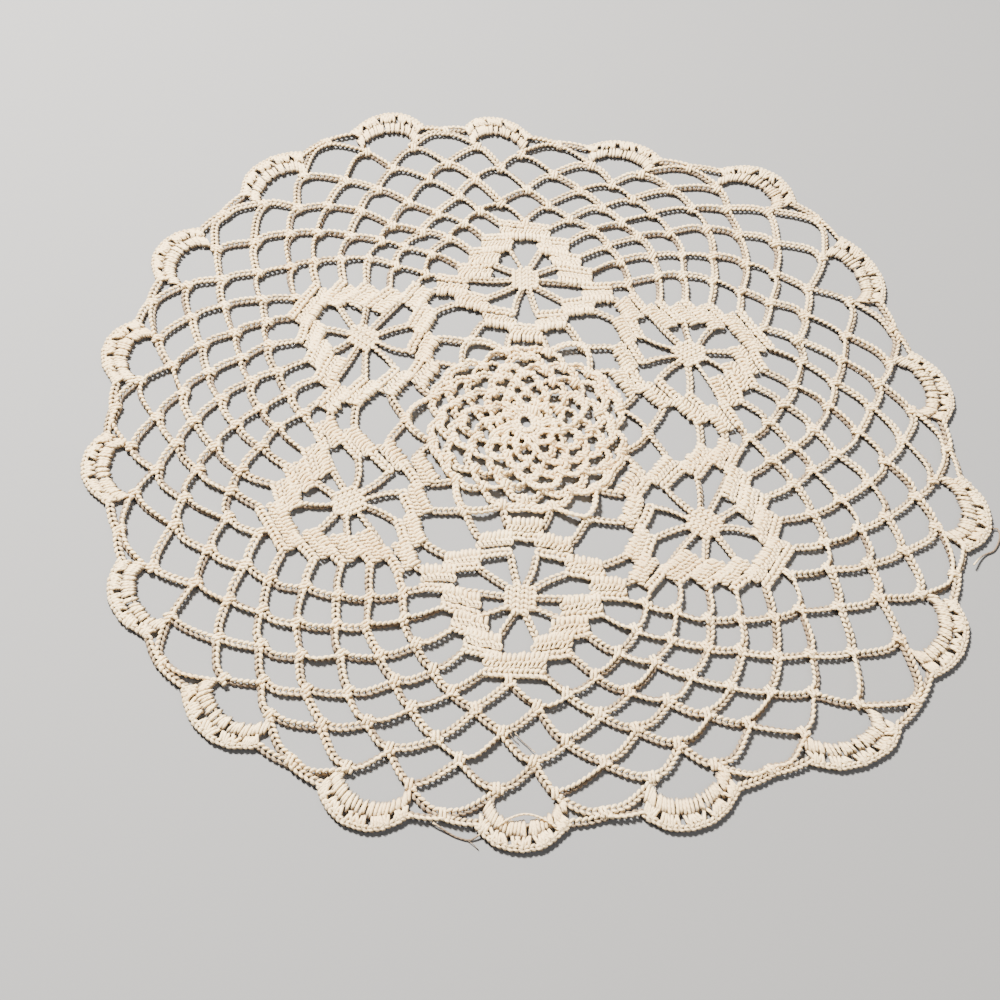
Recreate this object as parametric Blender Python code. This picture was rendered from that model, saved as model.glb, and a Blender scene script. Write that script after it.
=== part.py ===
"""A round crocheted lace doily, lying flat.

One sheet of crochet, cut through at its larger gaps: a close rosette in the middle, a ring of
six spider-web diamonds, a net of chain loops around them, and eighteen shells along the edge.

Metres, +Z up. The sheet's underside is at z = 0, and the origin is under the middle of its box.
Places are worked out in millimetres in the doily's own plan, and MM turns them into metres.
Angles are in degrees, counter-clockwise from +X. The pattern is first laid out evenly, and
`lay` then moves each place to where the worked and washed doily really has it.
"""
from collections import namedtuple

import bmesh
import bpy
import numpy as np

MM = 0.001

# Driving sizes (mm)
REACH = 130.0          # middle of the doily to the middle of an edge shell
SHEET = 2.0            # thickness of the crochet
CHAIN = 2.4            # width of a row of chain stitches
BAR_EDGE = 0.6         # how far the outermost bar of a block stands into a gap
KNOT_SLIP = 0.8        # how far a net knot may sit from its even place
BOW = 0.07             # how far a chain bows, as a share of its length

# The repeat
SEXTANT = 60.0         # degrees from one diamond's axis to the next
FIRST_AXIS = 90.0
LOOPS = 36             # chain loops in a full round of the net
PITCH = 360.0 / LOOPS
FIRST_NET, TIP_ROUND, LAST_NET = 5, 9, 13   # the net begins, closes over the tips, and ends
SHELL_DRAW = 0.9       # degrees by which a shell draws each of its two knots in

# Where the six diamonds lie: even angle, real angle, and real reach of the spider's middle (mm)
DIAMOND_REACH = 60.2
Diamond = namedtuple("Diamond", "even degrees reach")
DIAMONDS = [
    Diamond(90, 90.0, 58.5), Diamond(150, 149.0, 60.6), Diamond(210, 209.9, 60.0),
    Diamond(270, 267.5, 60.4), Diamond(330, 328.0, 61.3), Diamond(390, 391.0, 60.6),
]

# Where the eighteen edge shells lie: even angle, real angle, and real reach of the band (mm)
Shell = namedtuple("Shell", "even degrees reach")
SHELLS = [
    Shell(95, 94.5, 127.6), Shell(115, 109.8, 134.2), Shell(135, 130.5, 131.8),
    Shell(155, 151.2, 129.6), Shell(175, 170.0, 127.0), Shell(195, 189.9, 126.8),
    Shell(215, 209.4, 127.0), Shell(235, 230.1, 130.3), Shell(255, 250.3, 131.6),
    Shell(275, 268.7, 129.0), Shell(295, 288.5, 129.6), Shell(315, 310.8, 134.0),
    Shell(335, 330.4, 137.0), Shell(355, 349.0, 136.6), Shell(375, 369.6, 131.6),
    Shell(395, 391.6, 132.6), Shell(415, 412.7, 137.0), Shell(435, 433.4, 124.2),
]

# Where the net is drawn in or eased out: middle, shift and spread (mm)
Pull = namedtuple("Pull", "x y dx dy spread")
PULLS = [
    Pull(38, -91, 2.9, 5.0, 31),
    Pull(85, -5, -4.2, -0.6, 16),
    Pull(-40, 87, 0.6, -6.2, 17),
    Pull(-43, 111, -3.4, -2.0, 13),
    Pull(-83, 22, 4.0, 0.5, 26),
    Pull(100, -86, 5.0, -5.0, 17),
    Pull(-97, -82, -3.2, -2.6, 10),
    Pull(101, 86, 3.6, 3.6, 12),
    Pull(-65, 113, -2.6, 3.6, 13),
    Pull(-96, -60, -1.0, -3.4, 24),
]

# Reach of each round of knots (mm): halfway between two diamonds, and on a diamond's axis
Reach = namedtuple("Reach", "between axis")
NET = {
    5: Reach(68.8, 68.8), 6: Reach(75.8, 73.0), 7: Reach(83.3, 66.0),
    8: Reach(88.9, 80.6), 9: Reach(95.2, 86.4), 10: Reach(101.7, 91.8),
    11: Reach(107.4, 101.8), 12: Reach(113.4, 109.0), 13: Reach(120.4, 118.8),
}

# The block of bars that each round adds to a diamond's rim (mm): sideways from the axis to its
# near and far end, and along the axis to the foot and the top of its bars
Block = namedtuple("Block", "near far foot top")
BLOCKS = {
    1: Block(-5.2, 5.2, 34.0, 40.5), 2: Block(3.5, 13.3, 39.4, 46.4),
    3: Block(12.4, 22.6, 46.0, 52.2), 4: Block(19.4, 28.6, 51.8, 59.0),
    5: Block(11.4, 22.0, 59.0, 65.8), 6: Block(8.8, 18.5, 66.4, 72.8),
    7: Block(4.3, 14.3, 72.4, 79.2), 8: Block(-8.5, 8.5, 78.2, 85.2),
}

# Gaps between the legs of a spider (mm sideways, mm along the axis)
HEAD_GAP = [(-3.4, 41.0), (-3.2, 46.4), (-1.4, 52.6), (1.6, 53.0), (2.9, 46.4), (3.4, 41.0)]
SIDE_GAP = [(13.0, 53.0), (18.9, 52.9), (18.6, 57.2), (12.2, 58.2), (5.8, 58.4), (5.6, 57.2)]
TAIL_GAP = [(-1.0, 66.6), (-3.9, 73.2), (-4.0, 76.2), (-2.3, 78.0),
            (2.3, 78.0), (4.0, 76.2), (3.9, 73.2), (1.0, 66.6)]

# Where the rosette's last loops meet the diamonds
ROSETTE_KNOT = (7.4, 30.9)       # mm sideways, mm along an axis
ROSETTE_BOW = (12.0, 33.6)
CROSSING_REACH = 36.6            # mm, halfway between two axes
VALLEY_CHAIN_REACH = 52.4        # mm, the chain that joins the second blocks of two diamonds

# The edge, measured from a shell's middle (degrees, mm)
SHELL_OUTLINE = [(-5.9, 128.6), (-4.8, 130.8), (-3.1, 133.6), (-1.1, 135.0),
                 (1.1, 135.0), (3.1, 133.6), (4.8, 130.8), (5.9, 128.6)]
UNDER_SHELL = [(2.9, 124.8), (0.0, 126.6), (-2.9, 124.8)]
SHELL_FOOT_EDGE = 0.2            # mm
OUTLINE_BETWEEN = 129.8          # mm, reach of the outline halfway between two shells
CHAIN_BETWEEN = 125.4            # mm, reach of the last loop's middle there

LACE = (0.86, 0.80, 0.70, 1.0)
ROUGH = 0.9


def read_round(rows, value, degrees):
    """value(row) at an angle, on a smooth closed curve through all the rows (Catmull-Rom)."""
    values = np.array([value(row) for row in rows], float)
    steps = (degrees - rows[0].even) % 360.0 * len(rows) / 360.0
    first = np.floor(steps).astype(int)
    t = steps - first
    a, b, c, d = (values[(first + shift) % len(rows)] for shift in (-1, 0, 1, 2))
    bend = 2 * a - 5 * b + 4 * c - d + t * (3 * (b - c) + d - a)
    return b + 0.5 * t * (c - a + t * bend)


def lay(reach, degrees):
    """Real place (mm) of the point of the even pattern at `reach` mm and `degrees`.

    Turn and growth rise to the diamonds' own at their spiders, hold to just past them, and go
    over to the shells' own at the edge. Each pull then adds its shift, as a round soft hill.
    """
    inside = np.clip(reach / DIAMOND_REACH, 0.0, 1.0)
    outside = np.clip((reach / REACH - 0.52) / 0.48, 0.0, 1.0)
    inside = inside * (1.0 - outside)
    turn = (inside * read_round(DIAMONDS, lambda row: row.degrees - row.even, degrees)
            + outside * read_round(SHELLS, lambda row: row.degrees - row.even, degrees))
    growth = (inside * read_round(DIAMONDS, lambda row: row.reach / DIAMOND_REACH - 1, degrees)
              + outside * read_round(SHELLS, lambda row: row.reach / REACH - 1, degrees))
    angle = np.radians(degrees + turn)
    place = reach * (1.0 + growth) * np.array([np.cos(angle), np.sin(angle)])
    for pull in PULLS:
        away = np.hypot(place[0] - pull.x, place[1] - pull.y) / pull.spread
        place = place + np.exp(-away ** 2) * np.array([pull.dx, pull.dy])
    return place


def beside(axis, side, along):
    """Real place of the point `along` mm out on an axis and `side` mm counter-clockwise of it."""
    degrees = FIRST_AXIS + SEXTANT * axis + np.degrees(np.arctan2(side, along))
    return lay(np.hypot(side, along), degrees)


def corner(axis, row, hand, end, level):
    """Corner of a rim block; hand +1 is the counter-clockwise half of the diamond."""
    block = BLOCKS[row]
    return beside(axis, hand * getattr(block, end), getattr(block, level))


def scatter(*keys):
    """A fixed number from -1 to 1 for a set of whole numbers, with no order to it."""
    wave = np.sin(np.dot(keys, (12.9898, 78.233, 37.719))) * 43758.5453
    return 2.0 * (wave - np.floor(wave)) - 1.0


def knot(row, i):
    """Knot i of a net round. Beside a diamond, the top corner of its block stands in for it.

    Even rounds sit half a pitch on from odd ones, because each knot is worked into the middle
    of a loop of the round before.
    """
    angle = PITCH * i + (0.0 if row % 2 else PITCH / 2)
    axis = int(angle // SEXTANT)
    from_middle = angle - SEXTANT * (axis + 0.5)
    if row < TIP_ROUND and abs(from_middle) > PITCH / 2 * (row - FIRST_NET) + 0.01:
        hand = 1 if from_middle < 0 else -1
        return corner(axis if hand > 0 else axis + 1, row, hand, "far", "top")
    if row == LAST_NET:
        angle += SHELL_DRAW if i % 2 == 0 else -SHELL_DRAW
    between, on_axis = NET[row]
    reach = between + (on_axis - between) * (from_middle / (SEXTANT / 2)) ** 2
    slip = np.array([scatter(row, i % LOOPS, 1), scatter(row, i % LOOPS, 2)])
    return lay(reach, FIRST_AXIS + angle) + KNOT_SLIP * slip


def facing(row, i):
    """Number of the knot at the middle of loop i, in the round before and in the round after."""
    return i if row % 2 else i + 1


def bow(start, end):
    """Middle of a chain from start to end, which bows away from the doily's middle."""
    middle = (start + end) / 2
    return middle + BOW * np.linalg.norm(end - start) * middle / np.linalg.norm(middle)


def inset(points, widths):
    """The polygon with each side moved inwards by its width; side j starts at point j.

    Each corner moves by (width x normal of the side before + width x normal of the side after)
    / (1 + cosine between the normals), which is exact where the two widths are equal.
    """
    points = np.array(points)
    widths = np.array(widths)[:, None]
    after = np.roll(points, -1, axis=0)
    turn = np.sign(np.sum(points[:, 0] * after[:, 1] - after[:, 0] * points[:, 1]))
    ahead = (after - points) / np.linalg.norm(after - points, axis=1)[:, None]
    normal = turn * np.stack([-ahead[:, 1], ahead[:, 0]], axis=1)
    normal_before = np.roll(normal, 1, axis=0)
    cosine = np.clip(np.sum(normal * normal_before, axis=1), -0.5, 1.0)[:, None]
    shift = normal * widths + normal_before * np.roll(widths, 1, axis=0)
    return points + shift / (1.0 + cosine)


def net_gap(row, i):
    """Gap under loop i of a net round, between its chains and those of the round before."""
    start, end = knot(row, i), knot(row, i + 1)
    foot = knot(row - 1, facing(row, i))
    sides = [start, bow(start, foot), foot, bow(foot, end), end]
    half = CHAIN / 2
    middle = FIRST_AXIS + PITCH * (i + 0.5)
    if row == LAST_NET and i % 2 == 0:
        over = [lay(reach, middle + degrees) for degrees, reach in UNDER_SHELL]
        return inset(sides + over, [half] * 4 + [SHELL_FOOT_EDGE] * 4)
    top = lay(CHAIN_BETWEEN, middle) if row == LAST_NET else knot(row + 1, facing(row, i))
    return inset(sides + [bow(end, top), top, bow(top, start)], [half] * 8)


def block_gap(axis, row, hand):
    """Gap between the side of a rim block and the net's first knot beside it."""
    knots = row - FIRST_NET + 1
    valley = axis if hand > 0 else axis - 1
    first = (valley * LOOPS + LOOPS // 2) // 6 - (knots - 1) // 2 - (0 if row % 2 else 1)
    nearest = first if hand > 0 else first + knots - 1
    loop = nearest - 1 if hand > 0 else nearest
    end, top = knot(row, nearest), knot(row + 1, facing(row, loop))
    block_top = corner(axis, row, hand, "far", "top")
    block_foot = corner(axis, row, hand, "far", "foot")
    under = corner(axis, row - 1, hand, "far", "top")
    points = [block_top, block_foot, under, bow(under, end), end, bow(end, top), top,
              bow(top, block_top)]
    return inset(points, [BAR_EDGE] * 2 + [CHAIN / 2] * 6)


def valley_gaps(valley):
    """The two gaps between neighbouring diamonds, below the net."""
    half = CHAIN / 2
    middle = FIRST_AXIS + SEXTANT * (valley + 0.5)
    crossing = lay(CROSSING_REACH, middle)
    chain = lay(VALLEY_CHAIN_REACH, middle)
    sides = ((valley, 1), (valley + 1, -1))
    (foot_2, foot_2b), (top_2, top_2b) = (
        [corner(axis, 2, hand, "far", level) for axis, hand in sides] for level in ("foot", "top"))
    (foot_3, foot_3b), (top_3, top_3b) = (
        [corner(axis, 3, hand, "far", level) for axis, hand in sides] for level in ("foot", "top"))
    meeting = sum(corner(axis, 4, hand, "far", "foot") for axis, hand in sides) / 2
    round_gap = inset([crossing, foot_2, top_2, foot_3, chain, foot_3b, top_2b, foot_2b],
                      [half, BAR_EDGE, BAR_EDGE, half, half, BAR_EDGE, BAR_EDGE, half])
    upper_gap = inset([chain, foot_3, top_3, meeting, top_3b, foot_3b],
                      [half, BAR_EDGE, BAR_EDGE, BAR_EDGE, BAR_EDGE, half])
    return [round_gap, upper_gap]


def diamond_gaps(axis):
    """Gaps inside one diamond, and the two between its first block and the rosette."""
    half = CHAIN / 2
    gaps = [[beside(axis, side, along) for side, along in gap] for gap in (HEAD_GAP, TAIL_GAP)]
    for hand in (1, -1):
        gaps.append([beside(axis, hand * side, along) for side, along in SIDE_GAP])
        crossing = lay(CROSSING_REACH, FIRST_AXIS + SEXTANT * (axis + hand / 2))
        shoulder = [beside(axis, hand * side, along) for side, along in (ROSETTE_KNOT, ROSETTE_BOW)]
        points = [shoulder[0], corner(axis, 1, hand, "far", "foot"),
                  beside(axis, hand * BLOCKS[1].far, BLOCKS[2].foot),
                  corner(axis, 2, hand, "far", "foot"), crossing, shoulder[1]]
        gaps.append(inset(points, [half, BAR_EDGE, BAR_EDGE, half, half, half]))
    return gaps


def all_gaps():
    """Every gap that is cut through the sheet, as polygons in mm."""
    gaps = []
    for axis in range(6):
        gaps += diamond_gaps(axis) + valley_gaps(axis)
        for row in range(FIRST_NET, TIP_ROUND):
            gaps += [block_gap(axis, row, hand) for hand in (1, -1)]
            knots = row - FIRST_NET + 1
            first = axis * 6 + 3 - (knots - 1) // 2 - (0 if row % 2 else 1)
            gaps += [net_gap(row, i) for i in range(first, first + knots - 1)]
    tip_loops = (0, 5)     # the loops over a diamond's tip lie too close to it to be cut
    gaps += [net_gap(TIP_ROUND, i) for i in range(LOOPS) if i % 6 not in tip_loops]
    for row in range(TIP_ROUND + 1, LAST_NET + 1):
        gaps += [net_gap(row, i) for i in range(LOOPS)]
    return gaps


def outline():
    """The scalloped edge: each shell's arc, and one point halfway to the next shell."""
    points = []
    for even in range(95, 455, 20):
        points += [lay(reach, even + degrees) for degrees, reach in SHELL_OUTLINE]
        points.append(lay(OUTLINE_BETWEEN, even + PITCH))
    return points


def add_ring(sheet, points, middle):
    """A closed ring of edges at z = 0 through the points, moved so that `middle` is the origin."""
    ring = [sheet.verts.new(((x - middle[0]) * MM, (y - middle[1]) * MM, 0.0)) for x, y in points]
    for start, end in zip(ring, ring[1:] + ring[:1]):
        sheet.edges.new((start, end))


def lace_material():
    """Ecru cotton."""
    material = bpy.data.materials.new("ecru_cotton")
    material.use_nodes = True
    shader = material.node_tree.nodes["Principled BSDF"]
    shader.inputs["Base Color"].default_value = LACE
    shader.inputs["Roughness"].default_value = ROUGH
    shader.inputs["Metallic"].default_value = 0.0
    return material


def build_doily():
    """Fill the outline around its gaps, and pull the face up to the sheet's thickness."""
    edge = np.array(outline())
    middle = (edge.min(axis=0) + edge.max(axis=0)) / 2
    sheet = bmesh.new()
    for points in [edge] + all_gaps():
        add_ring(sheet, points, middle)
    bmesh.ops.triangle_fill(sheet, edges=sheet.edges[:], use_beauty=True, normal=(0.0, 0.0, 1.0))
    raised = bmesh.ops.extrude_face_region(sheet, geom=sheet.faces[:], use_keep_orig=True)
    tops = [item for item in raised["geom"] if isinstance(item, bmesh.types.BMVert)]
    bmesh.ops.translate(sheet, verts=tops, vec=(0.0, 0.0, SHEET * MM))
    bmesh.ops.recalc_face_normals(sheet, faces=sheet.faces[:])
    mesh = bpy.data.meshes.new("doily")
    sheet.to_mesh(mesh)
    sheet.free()
    mesh.materials.append(lace_material())
    bpy.context.scene.collection.objects.link(bpy.data.objects.new("doily", mesh))


for leftover in list(bpy.data.objects):
    bpy.data.objects.remove(leftover, do_unlink=True)
build_doily()
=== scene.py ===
"""Crocheted lace doily: every stitch as a loop of cotton thread.

The doily is a traditional one, worked in rounds from the middle: a close rosette, six spider-web
diamonds, a net of chain loops, and eighteen shells along the edge. Places are worked out in
millimetres in the doily's own plan, and MM turns them into metres. Angles are in degrees,
counter-clockwise from +X. A course is the smooth line that a row of stitches follows, and the
stitches' bends are given along, beside and above it.
"""
from collections import namedtuple

import bpy
import numpy as np
from mathutils import Matrix, Vector


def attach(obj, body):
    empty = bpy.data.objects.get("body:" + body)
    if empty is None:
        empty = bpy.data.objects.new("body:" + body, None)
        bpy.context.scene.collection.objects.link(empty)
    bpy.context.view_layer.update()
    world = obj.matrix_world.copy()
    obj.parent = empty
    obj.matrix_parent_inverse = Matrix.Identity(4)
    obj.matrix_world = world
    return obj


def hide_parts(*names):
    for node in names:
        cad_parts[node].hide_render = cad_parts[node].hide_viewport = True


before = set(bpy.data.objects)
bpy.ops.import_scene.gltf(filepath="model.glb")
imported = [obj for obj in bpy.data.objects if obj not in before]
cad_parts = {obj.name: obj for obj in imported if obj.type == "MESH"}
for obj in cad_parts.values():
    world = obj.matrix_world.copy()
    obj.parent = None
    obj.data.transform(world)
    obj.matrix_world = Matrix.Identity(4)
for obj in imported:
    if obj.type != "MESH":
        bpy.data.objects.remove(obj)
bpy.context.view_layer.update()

MM = 0.001

# ------------------------ sizes (mm)
REACH = 130.0  # middle of the doily to the middle of an edge shell
CHAIN = 2.75  # width of a row of chain stitches
CHAIN_PITCH = 1.64  # length of a chain stitch
CHAIN_DEPTH = 0.36  # how far a chain's legs rise and dip about its middle
THREAD = 0.95  # thickness of the cotton thread
BAR_PITCH = 1.25  # from one bar of a block to the next
BED = 1.0  # height of the stitches' middle above the table
KNOT_SLIP = 0.8  # how far a net knot may sit from its even place
CORD_STEP = 0.9  # between the sections of a plain cord
SIDES = 5  # sides of the thread's section
EASE = 7.0  # how soon a thread feels the table (1/mm)

# ------------------------ the repeat
AXES = 6  # one diamond on each
SEXTANT = 360.0 / AXES
FIRST_AXIS = 90.0  # degrees
LOOPS = 36  # chain loops in each outer round of the net
PITCH = 360.0 / LOOPS
SEXTANT_LOOPS = LOOPS // AXES
SHELL_COUNT = 18  # one over every second loop
SHELL_PITCH = 360.0 / SHELL_COUNT
SEXTANT_SHELLS = SHELL_COUNT // AXES
FIRST_SHELL = FIRST_AXIS + PITCH / 2
FIRST_NET, TIP_ROUND, LAST_NET = 5, 9, 13  # rounds of the net: first, at diamonds' tips, last
SHELL_DRAW = 0.9  # degrees by which a shell draws its two knots in
EDGE_FROM = 0.52  # share of REACH past which places follow the shells
ROUNDING = 0.01  # degrees

# Each diamond's and each shell's even angle, and its own angle (degrees) and reach (mm).
# Evenly they would lie at DIAMOND_REACH and at REACH.
DIAMOND_REACH = 60.2
Diamond = namedtuple("Diamond", "even degrees reach")
DIAMONDS = [
    Diamond(90, 90.0, 58.5), Diamond(150, 149.0, 60.6), Diamond(210, 209.9, 60.0),
    Diamond(270, 267.5, 60.4), Diamond(330, 328.0, 61.3), Diamond(390, 391.0, 60.6),
]
Shell = namedtuple("Shell", "even degrees reach")
SHELLS = [
    Shell(95, 94.5, 127.6), Shell(115, 109.8, 134.2), Shell(135, 130.5, 131.8),
    Shell(155, 151.2, 129.6), Shell(175, 170.0, 127.0), Shell(195, 189.9, 126.8),
    Shell(215, 209.4, 127.0), Shell(235, 230.1, 130.3), Shell(255, 250.3, 131.6),
    Shell(275, 268.7, 129.0), Shell(295, 288.5, 129.6), Shell(315, 310.8, 134.0),
    Shell(335, 330.4, 137.0), Shell(355, 349.0, 136.6), Shell(375, 369.6, 131.6),
    Shell(395, 391.6, 132.6), Shell(415, 412.7, 137.0), Shell(435, 433.4, 124.2),
]

# Where the lace is drawn in or slack: middle, shift and spread of each pull (mm)
Pull = namedtuple("Pull", "x y dx dy spread")
PULLS = [
    Pull(38, -91, 2.9, 5.0, 31),
    Pull(85, -5, -4.2, -0.6, 16),
    Pull(-40, 87, 0.6, -6.2, 17),
    Pull(-43, 111, -3.4, -2.0, 13),
    Pull(-83, 22, 4.0, 0.5, 26),
    Pull(100, -86, 5.0, -5.0, 17),
    Pull(-97, -82, -3.2, -2.6, 10),
    Pull(101, 86, 3.6, 3.6, 12),
    Pull(-65, 113, -2.6, 3.6, 13),
    Pull(-96, -60, -1.0, -3.4, 24),
]

# Reach (mm) of the knots of each net round, half way between two axes and on an axis
Reach = namedtuple("Reach", "between axis")
NET = {
    5: Reach(68.8, 68.8), 6: Reach(75.8, 73.0), 7: Reach(83.3, 66.0),
    8: Reach(88.9, 80.6), 9: Reach(95.2, 86.4), 10: Reach(101.7, 91.8),
    11: Reach(107.4, 101.8), 12: Reach(113.4, 109.0), 13: Reach(120.4, 118.8),
}

# The blocks of a diamond's rim, from foot to tip: sides, foot and top (mm)
Block = namedtuple("Block", "near far foot top")
BLOCKS = {
    1: Block(-5.2, 5.2, 34.0, 40.5), 2: Block(3.5, 13.3, 39.4, 46.4),
    3: Block(12.4, 22.6, 46.0, 52.2), 4: Block(19.4, 28.6, 51.8, 59.0),
    5: Block(11.4, 22.0, 59.0, 65.8), 6: Block(8.8, 18.5, 66.4, 72.8),
    7: Block(4.3, 14.3, 72.4, 79.2), 8: Block(-8.5, 8.5, 78.2, 85.2),
}
FOOT_BLOCK, TIP_BLOCK = 1, 8  # the two that lie across the axis
# How a block slopes with the rim: mm outwards for each mm sideways, the same on both halves
SLOPES = {1: 0.0, 2: 0.16, 3: 0.18, 4: 0.03, 5: -0.19, 6: -0.21, 7: -0.20, 8: 0.0}
# mm by which a block laps over its neighbours: at its foot, its top, and its two sides
FOOT_LAP, TOP_LAP, NEAR_LAP, FAR_LAP = 0.5, 0.6, 0.2, 0.5
BLOCK_SLIP = 0.55  # mm that a corner may sit from its even place
BAR_FOOT, BAR_TOP = BED + 0.25, BED - 0.05  # mm above the table

# The spider: where each leg leaves the rim and where it meets the body (mm sideways, mm along)
Leg = namedtuple("Leg", "rim_side rim_along body_side body_along")
LEGS = [
    Leg(3.8, 45.2, 1.3, 55.3), Leg(12.8, 50.8, 3.0, 57.1), Leg(19.6, 58.6, 3.9, 59.6),
    Leg(12.2, 66.6, 3.3, 62.6), Leg(5.8, 74.0, 1.3, 64.5),
]
LEG_WIDTH, LEG_BOW = 2.5, 0.6  # mm; the bow is how far a leg's middle may lie aside
LEG_ROLL = 0.8  # radians
# The spider's body: side, foot and top of each column of stitches, and the cords across (mm)
BODY_COLUMNS = [(-3.4, 56.2, 63.8), (-1.2, 55.0, 65.2), (1.1, 55.2, 64.9), (3.3, 56.0, 64.0)]
COLUMN_WIDTH, COLUMN_PITCH, COLUMN_THREAD, COLUMN_SLIP = 2.75, 1.6, 1.08, 0.5
COLUMN_ROLL = 0.35  # radians
BODY_CORDS = np.arange(56.4, 65.0, 2.4)
BODY_CORD_HALF, BODY_CORD = 4.2, 1.15

# The chains that join two diamonds below the net, as they leave one of them (mm sideways, mm
# along). They reach the other as the mirror image.
VALLEY_CHAINS = [
    [(4.0, 40.4), (9.0, 40.6), (13.6, 40.2)], [(12.8, 46.9), (18.0, 47.2), (22.8, 47.0)],
    [(22.0, 52.9), (28.0, 52.9)],
]
CROSSING_REACH, VALLEY_CHAIN_REACH = 36.6, 52.4  # mm

ROSETTE_LOOPS = 12
ROSETTE = [6.2, 9.2, 12.4, 15.9, 19.4, 22.9, 26.2, 29.3]  # mm, reach of each round of knots
ROSETTE_BULGE = [0.22, 0.30, 0.32, 0.32, 0.30, 0.26, 0.24, 0.14]  # shares of a half loop
ROSETTE_WIDTH = [2.8, 2.8, 2.8, 2.8, 2.8, 2.8, 2.55, 2.55]  # mm, of the chain
ROSETTE_HEIGHTS = [0.1, 0.7, 0.5, 0.7, 0.1]  # mm above BED, along a loop
ROSETTE_THREAD = 1.05  # mm
ROSETTE_SLIP, ROSETTE_TURN = 0.5, 25.0  # mm, and degrees over the round's number + 2
CENTRE = np.array([-0.4, 1.2])  # mm, middle of the ring that the rosette starts from
CENTRE_RINGS = [(2.85, 2.3), (5.1, 2.9)]  # mm, reach and width of its two rows
CENTRE_STRETCH = np.array([[0.92, -0.06], [-0.06, 1.10]])
TIE_SIDE, TIE_REACH, TIE_WIDTH = 5.3, 35.8, 2.5  # mm, of the chains to a foot block

# The edge, from a shell's middle (degrees, mm)
SHELL_OUTLINE = [(-5.9, 128.6), (-4.8, 130.8), (-3.1, 133.6), (-1.1, 135.0),
                 (1.1, 135.0), (3.1, 133.6), (4.8, 130.8), (5.9, 128.6)]
SHELL_FOOT = [(-4.4, 121.4), (-3.6, 124.4), (-2.0, 126.4), (0.0, 127.2),
              (2.0, 126.4), (3.6, 124.4), (4.4, 121.4)]
OUTLINE_BETWEEN = 129.8
CHAIN_BETWEEN = 125.4


# ------------------------ where the pattern lies
def catmull_rom(a, b, c, d, t):
    """Value at share t of the way from b to c, on the smooth curve through a, b, c and d."""
    return b + 0.5 * t * (c - a + t * (2 * a - 5 * b + 4 * c - d + t * (3 * (b - c) + d - a)))


def read_round(rows, value, degrees):
    """value(row) at an angle, on a smooth closed curve through all the rows (Catmull-Rom)."""
    values = np.array([value(row) for row in rows], float)
    steps = (degrees - rows[0].even) % 360.0 * len(rows) / 360.0
    first = np.floor(steps).astype(int)
    around = (values[(first + shift) % len(rows)] for shift in (-1, 0, 1, 2))
    return catmull_rom(*around, steps - first)


def lay(reach, degrees):
    """Real place (mm) of points of the even pattern at `reach` mm and `degrees`.

    Turn and growth rise to the diamonds' own at their spiders, hold to just past them, and go
    over to the shells' own at the edge. Each pull then adds its shift, as a round soft hill.
    """
    reach, degrees = np.asarray(reach, float), np.asarray(degrees, float)
    inside = np.clip(reach / DIAMOND_REACH, 0.0, 1.0)
    outside = np.clip((reach / REACH - EDGE_FROM) / (1.0 - EDGE_FROM), 0.0, 1.0)
    inside = inside * (1.0 - outside)
    turn = (inside * read_round(DIAMONDS, lambda row: row.degrees - row.even, degrees)
            + outside * read_round(SHELLS, lambda row: row.degrees - row.even, degrees))
    growth = (inside * read_round(DIAMONDS, lambda row: row.reach / DIAMOND_REACH - 1, degrees)
              + outside * read_round(SHELLS, lambda row: row.reach / REACH - 1, degrees))
    angle = np.radians(degrees + turn)
    distance = reach * (1.0 + growth)
    place = np.stack([distance * np.cos(angle), distance * np.sin(angle)], axis=-1)
    for pull in PULLS:
        away = np.hypot(place[..., 0] - pull.x, place[..., 1] - pull.y) / pull.spread
        place = place + np.exp(-away ** 2)[..., None] * np.array([pull.dx, pull.dy])
    return place


def beside(axis, side, along):
    """Real place of the point `along` mm out on an axis and `side` mm counter-clockwise of it."""
    side, along = np.asarray(side, float), np.asarray(along, float)
    degrees = FIRST_AXIS + SEXTANT * axis + np.degrees(np.arctan2(side, along))
    return lay(np.hypot(side, along), degrees)


def sloped(row, side):
    """How much farther out a block lies at a place along it than at its middle: in proportion."""
    return SLOPES[row] * (np.abs(side) - (BLOCKS[row].near + BLOCKS[row].far) / 2)


def top_corner(axis, row, hand):
    """Outer far corner of a rim block; hand +1 is the counter-clockwise half of the diamond."""
    far = BLOCKS[row].far
    return beside(axis, hand * far, BLOCKS[row].top + sloped(row, far))


def scatter(*keys):
    """A fixed number from -1 to 1 for three whole numbers, with no order to it.

    It is the part after the point of a very large sine, spread from -1 to 1.
    """
    wave = np.sin(np.dot(keys, (12.9898, 78.233, 37.719))) * 43758.5453
    return 2.0 * (wave - np.floor(wave)) - 1.0


def scatters(key, count, uses):
    """Fixed numbers for each of `count` stitches: one column for each of their uses."""
    return np.array([[scatter(key, j, use) for use in uses] for j in range(count)])


def knot(row, i):
    """Knot i of a net round. Beside a diamond, the top corner of its block stands in for it."""
    angle = PITCH * i + (0.0 if row % 2 else PITCH / 2)
    axis = int(angle // SEXTANT)
    from_middle = angle - SEXTANT * (axis + 0.5)
    if row < TIP_ROUND and abs(from_middle) > PITCH / 2 * (row - FIRST_NET) + ROUNDING:
        hand = 1 if from_middle < 0 else -1
        return top_corner(axis if hand > 0 else axis + 1, row, hand)
    if row == LAST_NET:
        angle += SHELL_DRAW if i % 2 == 0 else -SHELL_DRAW
    between, on_axis = NET[row]
    reach = between + (on_axis - between) * (from_middle / (SEXTANT / 2)) ** 2
    slip = np.array([scatter(row, i % LOOPS, 1), scatter(row, i % LOOPS, 2)])
    return lay(reach, FIRST_AXIS + angle) + KNOT_SLIP * slip


def facing(row, i):
    """Number of the knot at the middle of loop i, in the round before and in the round after."""
    return i if row % 2 else i + 1


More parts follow.
